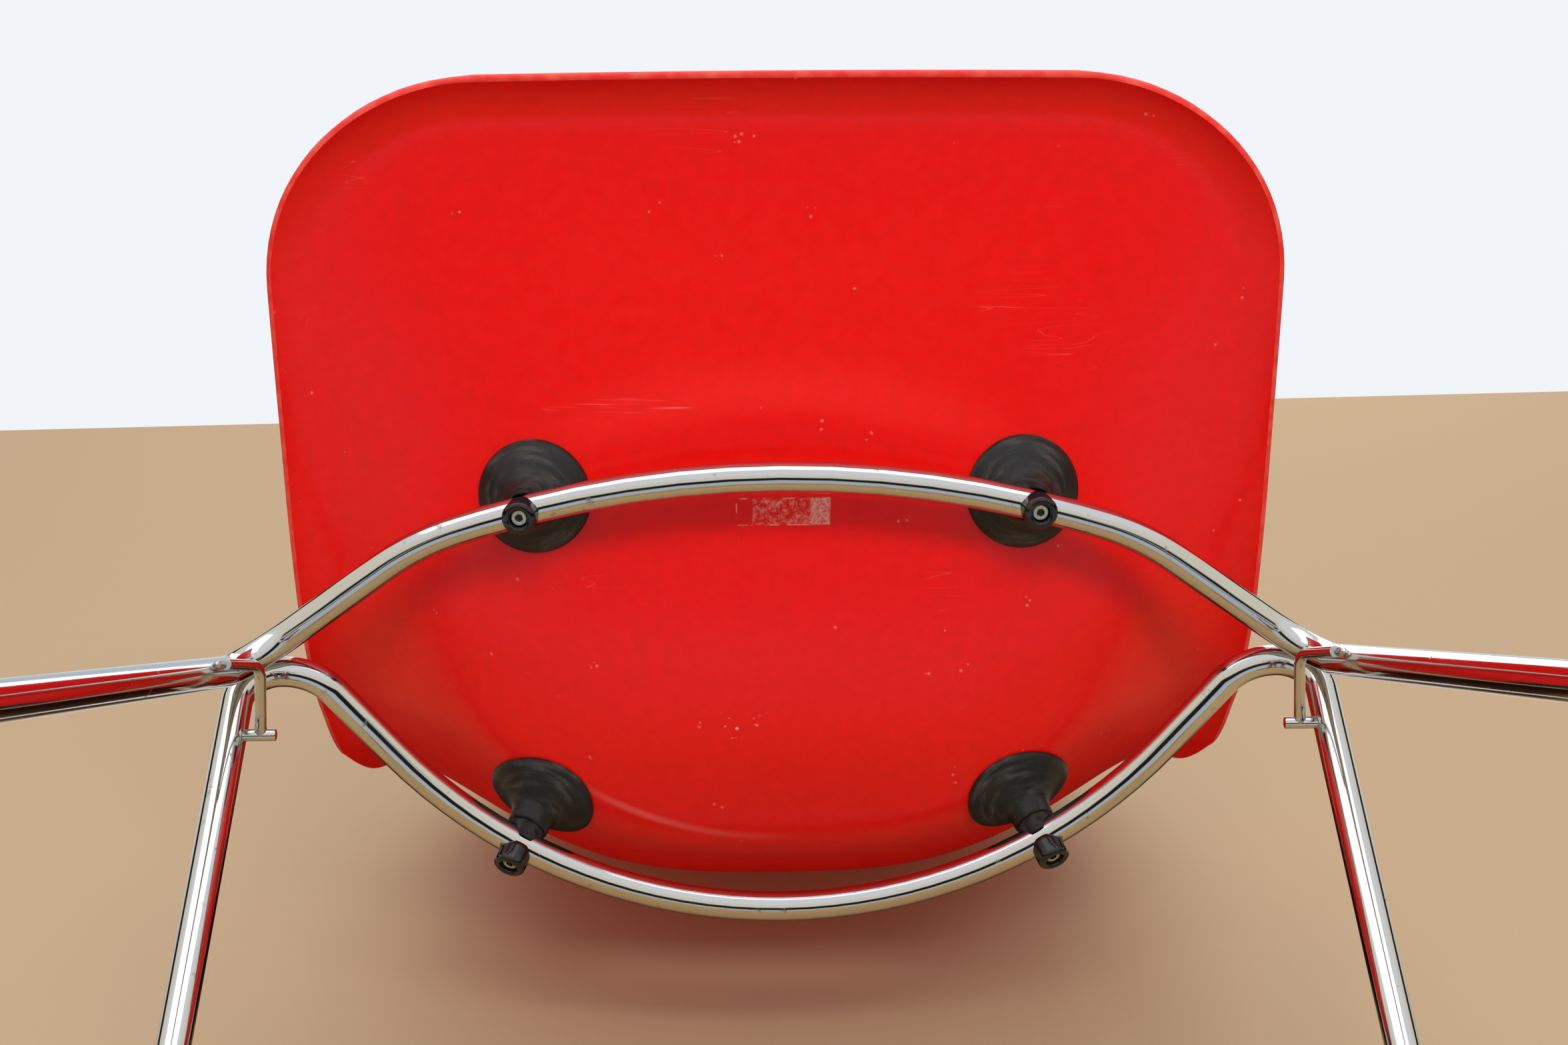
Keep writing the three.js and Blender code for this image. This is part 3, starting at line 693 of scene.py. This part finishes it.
def make_shell(under_material, edge_material, top_material):
    """Builds the shell and returns its underside for ray casts."""
    rows = shell_rows()
    columns = np.sin(np.pi / 2 * np.linspace(-1, 1, SHELL_COLUMNS + 1))
    along, side = np.meshgrid(rows, columns, indexing="ij")
    across = row_half_width(along) * side
    under = shell_point(along, across)
    normal = shell_normal(along, across)
    over = under + normal * SHELL_THICKNESS
    vertices = [*under.reshape(-1, 3), *over.reshape(-1, 3)]
    count = len(rows) * (SHELL_COLUMNS + 1)
    last = len(rows) - 1

    def low(i, j):
        return i * (SHELL_COLUMNS + 1) + j

    faces = []
    for i in range(last):
        for j in range(SHELL_COLUMNS):
            quad = (low(i, j), low(i + 1, j), low(i + 1, j + 1), low(i, j + 1))
            faces.append(quad)
            faces.append(tuple(count + k for k in reversed(quad)))
    walk = rim_walk(last)
    ring = [low(i, j) for i, j in walk]
    edge_start = len(faces)
    loops = [ring]
    for step in range(1, RIM_STEPS):
        points = rim_points(walk, under, over, normal, step / RIM_STEPS)
        loops.append(range(len(vertices), len(vertices) + len(points)))
        vertices += points
    loops.append([count + k for k in ring])
    for first, second in zip(loops, loops[1:]):
        for k in range(len(ring)):
            m = (k + 1) % len(ring)
            faces.append((first[k], first[m], second[m], second[k]))
    shell = add_piece("shell", vertices, faces, under_material, "shell", ["seat_shell"], sharp=60.0)
    shell.data.materials.append(edge_material)
    shell.data.materials.append(top_material)
    for polygon in shell.data.polygons:
        if polygon.index >= edge_start:
            polygon.material_index = 1
        elif min(polygon.vertices) >= count:
            polygon.material_index = 2
    return BVHTree.FromPolygons([Vector(v) for v in under.reshape(-1, 3)],
                                [f for f in faces[:edge_start:2]])


# ---------- base tubes ----------

def tube_path(bends, hoop_z, foot_y):
    shoulder = bends[-1]
    foot = Vector((FOOT_X, foot_y, 0))
    top = Vector((shoulder[0], shoulder[1], hoop_z))
    half = [(Vector((x, y, hoop_z)), radius) for x, y, radius in bends[1:]]
    half.append((foot.lerp(top, TUBE_END_Z / hoop_z), 0))
    mirrored = [(Vector((-p.x, p.y, p.z)), radius) for p, radius in reversed(half)]
    middle = (Vector((0, bends[0][1], hoop_z)), bends[0][2])
    return rounded_path([*mirrored, middle, *half])


FRONT_PATH = tube_path(FRONT_BENDS, FRONT_HOOP_Z, FRONT_FOOT_Y)
REAR_PATH = tube_path(REAR_BENDS, REAR_HOOP_Z, REAR_FOOT_Y)


def leg_point(bends, hoop_z, foot_y, z, side=1):
    share = z / hoop_z
    x = FOOT_X + (bends[-1][0] - FOOT_X) * share
    return Vector((side * x, foot_y + (bends[-1][1] - foot_y) * share, z))


def hoop_point(path, x):
    """Point and direction of a hoop's centreline over a given x."""
    i = next(k for k, p in enumerate(path) if p.x >= x)
    a, b = path[i - 1], path[i]
    return a.lerp(b, (x - a.x) / (b.x - a.x)), (b - a).normalized()


# Dents pressed into the tubes: place, direction of the press, length and depth.
FRONT_DENTS = [((s * 258.5, -30.0, 312.0), (-s * 0.75, 0.15, -0.64), 12.0, 1.5) for s in (-1, 1)]
REAR_DENTS = [((s * 262.0, 44.0, 325.0), (-s * 0.25, -0.35, -0.9), 16.0, 1.1) for s in (-1, 1)]
FRONT_BEND_MARKS = [((s * 222.0, -26.0, 384.0), (0.0, -0.75, -0.66), 7.0, 1.6) for s in (-1, 1)]
REAR_BEND_MARKS = [((s * 215.0, 16.0, 386.0), (0.0, -0.55, -0.84), 5.0, 0.9) for s in (-1, 1)]


def dented(dents):
    def radius_at(point, outward):
        radius = TUBE_RADIUS
        for place, press, length, depth in dents:
            distance = (point - Vector(place)).length / length
            facing = max(outward.dot(Vector(press).normalized()), 0.0)
            radius -= depth * math.exp(-distance ** 2 * 2) * facing ** 4
        return radius
    return radius_at


def make_tubes(material):
    for name, path, dents in (("front_hoop_tube", FRONT_PATH, FRONT_DENTS + FRONT_BEND_MARKS),
                              ("rear_hoop_tube", REAR_PATH, REAR_DENTS + REAR_BEND_MARKS)):
        vertices, faces = swept(path, TUBE_RADIUS, shape=dented(dents))
        add_piece(name.replace("_tube", "_pipe"), vertices, faces, material, "chrome", [name])


# ---------- mounts ----------

def mount_place(settings, path, side):
    """Frame of a mount: origin on the tube's centreline, +Z up to the shell, +X along the tube."""
    origin, along = hoop_point(path, side * settings["x"])
    axis = Vector((-side * math.tan(math.radians(settings["inward"])),
                   math.tan(math.radians(settings["back"])), 1)).normalized()
    along = (along - axis * along.dot(axis)).normalized()
    turn = Matrix((along, axis.cross(along), axis)).transposed()
    return Matrix.Translation(origin) @ turn.to_4x4()


def make_shock_mount(name, place, shell_tree, material):
    """Rubber disc under the shell that narrows to a neck on the tube.

    The flare is listed as (radius, distance below the shell).
    """
    sides = 72
    axis = (place.to_3x3() @ Vector((0, 0, 1))).normalized()

    def shell_height(radius, angle):
        start = place @ Vector((radius * math.cos(angle), radius * math.sin(angle), 0))
        return shell_tree.ray_cast(start, axis)[3]

    neck = [(NECK_RADIUS - 0.6, SADDLE_TOP + 0.3), (NECK_RADIUS, SADDLE_TOP + 1.0)]
    flare = [(10.6, 17.0), (11.3, 15.4), (12.6, 13.6), (14.6, 11.7), (17.2, 9.7), (20.2, 7.8),
             (23.2, 6.0), (25.6, 4.4), (27.2, 3.0), (27.9, 1.8), (28.0, 0.8), (27.6, 0.0)]
    rim = [shell_height(DISC_RADIUS, 2 * math.pi * j / sides) for j in range(sides)]
    mean = sum(rim) / sides
    vertices, _ = turned(neck, sides)
    for radius, below in flare:
        tilts = [(height - mean) * (radius / DISC_RADIUS) ** 2 for height in rim]
        vertices += circle(radius, [mean + tilt - below - DISC_GAP for tilt in tilts])
    faces = ring_faces(len(neck) + len(flare), sides)
    add_piece(name + "_shock_rubber", vertices, faces, material, "mount_rubber", [name + "_shock_mount"],
              place, sharp=50.0)


def saddle_lid(radius, sides, upward, clearance):
    """Heights of a ring on the tube, which runs along local X. upward is 1 above it, -1 below."""
    heights = []
    for j in range(sides):
        lateral = radius * math.sin(2 * math.pi * j / sides)
        inside = max((TUBE_RADIUS + clearance) ** 2 - lateral ** 2, 0.0)
        heights.append(upward * math.sqrt(inside))
    return heights


def make_saddle(name, place, material):
    """Pad between the mount's neck and the tube, hollowed to fit the tube."""
    sides = 48
    wall = [(SADDLE_RADIUS, SADDLE_SKIRT), (SADDLE_RADIUS, SADDLE_TOP - 0.6),
            (SADDLE_RADIUS - 0.6, SADDLE_TOP)]
    vertices = []
    for radius in (0.0, 4.0, SADDLE_RADIUS - 0.5):
        vertices += circle(radius, saddle_lid(radius, sides, 1, SADDLE_GAP))
    for radius, height in wall:
        lids = saddle_lid(radius, sides, 1, SADDLE_GAP)
        vertices += circle(radius, [max(height, min(lid, SADDLE_TOP)) for lid in lids])
    add_piece(name + "_saddle_pad", vertices, ring_faces(6, sides), material, "saddle_rubber",
              [name + "_saddle_washer"], place)


def make_bumper(name, place, material):
    """Round bumper with a saddle top on the tube and a recess for the bolt head.

    The upper rings are listed as (radius, share of the way up to the tube).
    """
    sides = 64
    end, floor = BUMPER_END, BUMPER_FLOOR
    inner = [(0.01, floor), (RECESS_RADIUS, floor), (RECESS_RADIUS, end + 1.0),
             (RECESS_RADIUS + 0.5, end + 0.3)]
    rounding = (BUMPER_RADIUS - BUMPER_ROUNDING, end + BUMPER_ROUNDING)
    lip = [(RECESS_RADIUS + 1.2, end), *arc(rounding, BUMPER_ROUNDING, -90, 0, 8)]
    upper = [(BUMPER_RADIUS, 0.4), (BUMPER_RADIUS, 0.75), (BUMPER_RADIUS, 0.95),
             (BUMPER_RADIUS - 0.3, 1.0), (BUMPER_RADIUS - 1.2, 1.0), (4.0, 1.0), (0.01, 1.0)]
    vertices, _ = turned([*inner, *lip], sides)
    for radius, blend in upper:
        lids = saddle_lid(min(radius, BUMPER_RADIUS - 0.8), sides, -1, BUMPER_GAP)
        reaches = [(min(lid, BUMPER_TOP) - end - BUMPER_ROUNDING) * blend for lid in lids]
        vertices += circle(radius, [(end + BUMPER_ROUNDING) + reach for reach in reaches])
    rings = len(vertices) // sides
    add_piece(name + "_bumper", vertices, ring_faces(rings, sides), material, "bumper",
              [name + "_stacking_bumper"], place, sharp=40.0)


def socket_reach(angle):
    """Distance from the bolt's axis to the wall of its hexagon socket."""
    from_middle = (angle + math.pi / 6) % (math.pi / 3) - math.pi / 6
    return BOLT_SOCKET_RADIUS * math.cos(math.pi / 6) / math.cos(from_middle)


def make_bolt(name, place, material):
    """Cap head with a hexagon socket, the shank and the insert it screws into."""
    top = BUMPER_FLOOR - 0.1
    bottom = top - BOLT_HEAD_HEIGHT
    sides = 48
    vertices = []
    for scale, height in ((0.02, bottom + 2.4), (1.0, bottom + 2.0), (1.0, bottom + 0.25)):
        for j in range(sides):
            angle = 2 * math.pi * j / sides
            reach = socket_reach(angle) * scale
            vertices.append((reach * math.cos(angle), reach * math.sin(angle), height))
    outer, _ = turned([(BOLT_SOCKET_RADIUS + 0.4, bottom), (BOLT_HEAD_RADIUS - 0.6, bottom),
                       *arc((BOLT_HEAD_RADIUS - 0.6, bottom + 0.6), 0.6, -90, 0, 5),
                       (BOLT_HEAD_RADIUS, top), (3.0, top), (3.0, 24.0)], sides)
    vertices += outer
    add_piece(name + "_cap_bolt", vertices, ring_faces(len(vertices) // sides, sides), material, "zinc",
              [name + "_mount_bolt"], place, sharp=30.0)
    insert, faces = turned([(3.3, SADDLE_TOP + 0.3), (5.5, SADDLE_TOP + 0.3), (5.5, SADDLE_TOP + 13.3),
                            (3.3, SADDLE_TOP + 13.3)], 32)
    add_piece(name + "_insert", insert, faces, material, "zinc", [name + "_threaded_insert"], place)


def make_mounts(shell_tree, paints):
    for end, settings, path in (("front", FRONT_MOUNT, FRONT_PATH), ("rear", REAR_MOUNT, REAR_PATH)):
        for side_name, side in SIDES:
            name = end + "_" + side_name
            place = mount_place(settings, path, side)
            make_shock_mount(name, place, shell_tree, paints["mount"])
            make_saddle(name, place, paints["saddle"])
            make_bumper(name, place, paints["bumper"])
            make_bolt(name, place, paints["zinc"])


# ---------- hooks, welds and feet ----------

def lump(centre, axis, half_length, radius, seed):
    """A small uneven bead of weld metal along an axis."""
    sides, rings = 20, 12
    turn = Vector((0, 0, 1)).rotation_difference(axis)
    vertices = []
    for i in range(rings + 1):
        polar = math.pi * (i + 0.02) / (rings + 0.04)
        for j in range(sides):
            angle = 2 * math.pi * j / sides
            wobble = 1 + 0.08 * math.sin(3 * angle + seed) * math.sin(4 * polar + seed)
            ring = radius * math.sin(polar) * wobble
            local = Vector((ring * math.cos(angle), ring * math.sin(angle), -half_length * math.cos(polar)))
            vertices.append(centre + turn @ local)
    return vertices, ring_faces(rings + 1, sides)


def joined(*bodies):
    """One list of vertices and one of faces from several bodies."""
    vertices, faces = [], []
    for body_vertices, body_faces in bodies:
        start = len(vertices)
        vertices += body_vertices
        faces += [tuple(start + k for k in face) for face in body_faces]
    return vertices, faces


def make_hook(side_name, side, chrome, weld):
    """The hook rod of one side, its pin, and the weld beads on them and between the hoops."""
    def mirrored(x, y, z):
        return Vector((side * x, y, z))

    leg = leg_point(REAR_BENDS, REAR_HOOP_Z, REAR_FOOT_Y, PIN_Z)
    pin_y = leg.y - PIN_OFFSET
    tip = mirrored(PIN_TIP_X, pin_y, PIN_Z)
    root = mirrored(leg.x - 5.5, pin_y, PIN_Z)
    pin = swept([tip, tip.lerp(root, 0.03), root], PIN_RADIUS, 32,
                lambda point, _: PIN_RADIUS - (0.35 if (point - tip).length < 0.01 else 0.0))
    add_piece(side_name + "_hook_stub", *pin, chrome, "chrome", [side_name + "_hook_pin"])

    start, corner = mirrored(*HOOK_START), mirrored(*HOOK_CORNER)
    end = mirrored(HOOK_END_X, pin_y, PIN_Z)
    path = rounded_path([(start, 0), (corner, HOOK_BEND), (end, 0)], 6.0, 3.0)
    rod = swept(path, HOOK_RADIUS, 32)
    add_piece(side_name + "_hook_rod", *rod, chrome, "chrome", [side_name + "_ganging_hook"], sharp=50.0)

    direction = (end - corner).normalized()
    beads = joined(
        lump(end - direction * 3.0, direction, 2.6, 2.9, 1.0 + side),
        lump(end - direction * 9.0, direction, 1.6, 2.65, 2.0 + side),
        lump(start + mirrored(3.0, 0.5, 0.5), (corner - start).normalized(), 4.0, 2.2, 3.0 + side),
        lump(root + mirrored(-0.4, 0, 0), Vector((1, 0, 0)), 1.4, 3.6, 4.0 + side),
    )
    front, _ = hoop_point(FRONT_PATH, side * HOOP_WELD_X)
    rear, _ = hoop_point(REAR_PATH, side * HOOP_WELD_X)
    across = (rear - front).normalized()
    up = across.cross(Vector((-1, 0, 0))).normalized()
    up = up if up.z > 0 else -up
    tie = lump(front.lerp(rear, 0.5) + up * 5.0, Vector((1, 0, 0)), 7.0, 3.4, 5.0 + side)
    add_piece(side_name + "_weld_beads", *joined(beads, tie), weld, "chrome", [side_name + "_hoop_weld"])


def make_glide(name, bends, hoop_z, foot_y, side, material):
    """Cap over a leg end with a flat pad on the floor."""
    sides = 56
    foot = leg_point(bends, hoop_z, foot_y, 0, side)
    axis = (leg_point(bends, hoop_z, foot_y, hoop_z, side) - foot).normalized()
    turn = Vector((0, 0, 1)).rotation_difference(axis)
    profile = [(GLIDE_PAD_RADIUS - 0.8, 0.0), (GLIDE_PAD_RADIUS, 1.0), (GLIDE_PAD_RADIUS, 4.6), (12.6, 6.4),
               (11.4, 9.0), (10.7, 11.0), (GLIDE_RADIUS, 13.0), (GLIDE_RADIUS, GLIDE_LENGTH - 1.6),
               *arc((GLIDE_RADIUS - 1.4, GLIDE_LENGTH - 1.4), 1.4, 0, 90, 5), (7.7, GLIDE_LENGTH),
               (7.7, GLIDE_LENGTH - 3)]
    vertices = []
    for radius, height in profile:
        for j in range(sides):
            angle = 2 * math.pi * j / sides
            point = foot + turn @ Vector((radius * math.cos(angle), radius * math.sin(angle), height))
            if height < GLIDE_LEVEL_HEIGHT:
                slide = axis * ((height - point.z) / axis.z)
                point = point + slide * (1 - height / GLIDE_LEVEL_HEIGHT)
            vertices.append(point)
    add_piece(name, vertices, ring_faces(len(profile), sides), material, "glide",
              [name.replace("_cap", "_foot_glide")], sharp=30.0)


def make_glides(material):
    for side_name, side in SIDES:
        make_glide("front_%s_cap" % side_name, FRONT_BENDS, FRONT_HOOP_Z, FRONT_FOOT_Y, side, material)
        make_glide("rear_%s_cap" % side_name, REAR_BENDS, REAR_HOOP_Z, REAR_FOOT_Y, side, material)


# ---------- stage and light ----------

FLOOR_COLOUR = (0.42, 0.305, 0.195, 1.0)
# What the chrome sees of the lying floor: its warm colour, a painted shade and a pale painted sheen.
FLOOR_MIRRORED_NEAR = (0.44, 0.31, 0.15, 1.0)
FLOOR_MIRRORED_SHADED = (0.035, 0.018, 0.010, 1.0)
FLOOR_MIRRORED_FAR_SHEEN = (0.54, 0.56, 0.58, 1.0)
WALL_COLOUR = (0.88, 0.91, 0.95, 1.0)

# Where the floor's reflected colour changes, in metres: from the chair's middle and in height. The painted
# shade lies beside the shell, the painted sheen further off.
SHADED_EDGE = (0.34, 0.42)
SHADED_BOTTOM = (0.36, 0.50)
SHADED_TOP = (0.85, 1.05)
NEAR_TO_FAR = (0.50, 0.90)

# The room that the chrome reflects, from its lowest colour up: where a colour takes over, and which.
ROOM_LOWEST = (0.46, 0.31, 0.14, 1.0)
ROOM_BANDS = [
    ((-0.50, -0.35), (0.54, 0.61, 0.68, 1.0)),
    ((-0.08, -0.03), (0.014, 0.014, 0.017, 1.0)),
    ((0.22, 0.30), (0.90, 0.84, 0.70, 1.0)),
    ((0.50, 0.70), (0.93, 0.95, 1.0, 1.0)),
]


def mirrored_floor(nodes):
    """The lying floor in the chrome: warm near the feet, painted shade beside the shell, a pale painted
    sheen further off.
    """
    x, _, height = nodes.split(nodes.add("ShaderNodeTexCoord").outputs["Object"])
    shaded = nodes.band(nodes.math("ABSOLUTE", x), *SHADED_EDGE, 1.0, 0.0)
    shaded = nodes.math("MULTIPLY", shaded, nodes.band(height, *SHADED_BOTTOM))
    shaded = nodes.math("MULTIPLY", shaded, nodes.band(height, *SHADED_TOP, 1.0, 0.0))
    reflection = nodes.mix(nodes.band(height, *NEAR_TO_FAR), FLOOR_MIRRORED_NEAR, FLOOR_MIRRORED_FAR_SHEEN)
    return nodes.mix(shaded, reflection, FLOOR_MIRRORED_SHADED)


def one_sided(name, colour, mirrored=False):
    """A plain surface that is seen only from its front, and casts no shadow.

    Only the camera sees it, unless it is mirrored: then the chrome shows it in its own colours, with painted
    shade and a painted sheen.
    """
    material = bpy.data.materials.new(name)
    material.use_nodes = True
    nodes = Nodes(material.node_tree)
    tree = material.node_tree
    tree.nodes.remove(tree.nodes["Principled BSDF"])
    paint = nodes.add("ShaderNodeBsdfDiffuse")
    ray = nodes.add("ShaderNodeLightPath")
    hidden = ray.outputs["Is Shadow Ray"]
    if not mirrored:
        paint.inputs["Color"].default_value = colour
        hidden = nodes.math("SUBTRACT", 1.0, ray.outputs["Is Camera Ray"])
    else:
        shown = nodes.mix(ray.outputs["Is Glossy Ray"], colour, mirrored_floor(nodes))
        nodes.link(shown, paint.inputs["Color"])
    clear = nodes.add("ShaderNodeBsdfTransparent")
    back = nodes.add("ShaderNodeNewGeometry").outputs["Backfacing"]
    mix = nodes.add("ShaderNodeMixShader")
    nodes.link(nodes.math("MAXIMUM", back, hidden), mix.inputs[0])
    nodes.link(paint.outputs[0], mix.inputs[1])
    nodes.link(clear.outputs[0], mix.inputs[2])
    nodes.link(mix.outputs[0], tree.nodes["Material Output"].inputs["Surface"])
    return material


def make_board(name, corners, material):
    mesh = bpy.data.meshes.new(name)
    mesh.from_pydata(corners, [], [(0, 1, 2, 3)])
    mesh.materials.append(material)
    board = bpy.data.objects.new(name, mesh)
    bpy.context.scene.collection.objects.link(board)


FLOOR_REACH = 3.0
FLOOR_DROP = 0.0005               # the standing floor lies just under the feet

# The floor that the chair lies on, as it is in the picture: it touches the rear feet and the
# top of the back. Its far edge is the foot of the wall.
LYING_FLOOR_FOOT = (0.2262, 0.0)
LYING_FLOOR_HEAD = (0.2805, 0.8)
LYING_FLOOR_LOW = -0.05
LYING_FLOOR_HIGH = 1.847          # over the middle of the chair
WALL_SLANT = 0.0617               # the wall stands a little askew to the chair


def make_stage():
    floor = one_sided("floor_paint", FLOOR_COLOUR)
    lying_floor = one_sided("lying_floor_paint", FLOOR_COLOUR, mirrored=True)
    turns = ((-1, -1), (1, -1), (1, 1), (-1, 1))
    make_board("floor", [(x * FLOOR_REACH, y * FLOOR_REACH, -FLOOR_DROP) for x, y in turns], floor)
    (y0, z0), (y1, z1) = LYING_FLOOR_FOOT, LYING_FLOOR_HEAD
    slope = (y1 - y0) / (z1 - z0)
    corners = []
    rise = FLOOR_REACH * WALL_SLANT
    for x, z in ((-FLOOR_REACH, LYING_FLOOR_LOW), (FLOOR_REACH, LYING_FLOOR_LOW),
                 (FLOOR_REACH, LYING_FLOOR_HIGH + rise), (-FLOOR_REACH, LYING_FLOOR_HIGH - rise)):
        corners.append((x, y0 + slope * (z - z0), z))
    make_board("lying_floor", corners, lying_floor)


def make_world():
    """The camera sees a pale wall; light and reflections come from a room of coloured bands."""
    world = bpy.data.worlds.new("room")
    bpy.context.scene.world = world
    world.use_nodes = True
    nodes = Nodes(world.node_tree)
    shader = world.node_tree.nodes["Background"]
    direction = nodes.add("ShaderNodeTexCoord").outputs["Generated"]
    _, y, _ = nodes.split(direction)
    room_up = nodes.math("MULTIPLY", y, -1.0)
    room = ROOM_LOWEST
    for (low, high), colour in ROOM_BANDS:
        room = nodes.mix(nodes.band(room_up, low, high), room, colour)
    seen = nodes.add("ShaderNodeLightPath").outputs["Is Camera Ray"]
    nodes.link(nodes.mix(seen, room, WALL_COLOUR), shader.inputs["Color"])
    shader.inputs["Strength"].default_value = 1.0


def add_light(name, place, aim, size, power, colour=(1.0, 1.0, 1.0), soft=False):
    """An area lamp; a soft one leaves no bright streak on the chrome."""
    data = bpy.data.lights.new(name, "AREA")
    data.shape = "RECTANGLE"
    data.size, data.size_y = size
    data.energy = power
    data.color = colour
    light = bpy.data.objects.new(name, data)
    light.visible_glossy = not soft
    light.location = place
    light.rotation_euler = (Vector(aim) - Vector(place)).to_track_quat("-Z", "Y").to_euler()
    bpy.context.scene.collection.objects.link(light)


def make_lights():
    add_light("window", (0.3, -2.2, -1.5), (0, 0, 0.4), (1.5, 0.6), 40.0, (1.0, 0.98, 0.96), soft=True)
    add_light("ceiling", (-0.3, -2.4, 0.9), (0, 0, 0.5), (3.6, 2.4), 22.5, (0.96, 0.98, 1.0))
    add_light("overhead", (0.3, -0.4, 2.6), (0, 0, 0.3), (1.8, 1.8), 15.0)
    add_light("behind", (-0.9, 2.2, 1.9), (0, 0, 0.5), (1.6, 1.6), 22.0, soft=True)


# ---------- build ----------

make_camera()
chrome = chrome_material()
tree = make_shell(shell_material("shell_underside", True), rim_material(),
                  shell_material("shell_top", False))
make_tubes(chrome)
make_mounts(tree, {"mount": mount_material(), "saddle": saddle_material(),
                   "bumper": bumper_material(), "zinc": zinc_material()})
weld = weld_material()
for side_name, side in SIDES:
    make_hook(side_name, side, chrome, weld)
make_glides(glide_material())
make_stage()
make_world()
make_lights()
bpy.context.scene.view_settings.view_transform = "Standard"
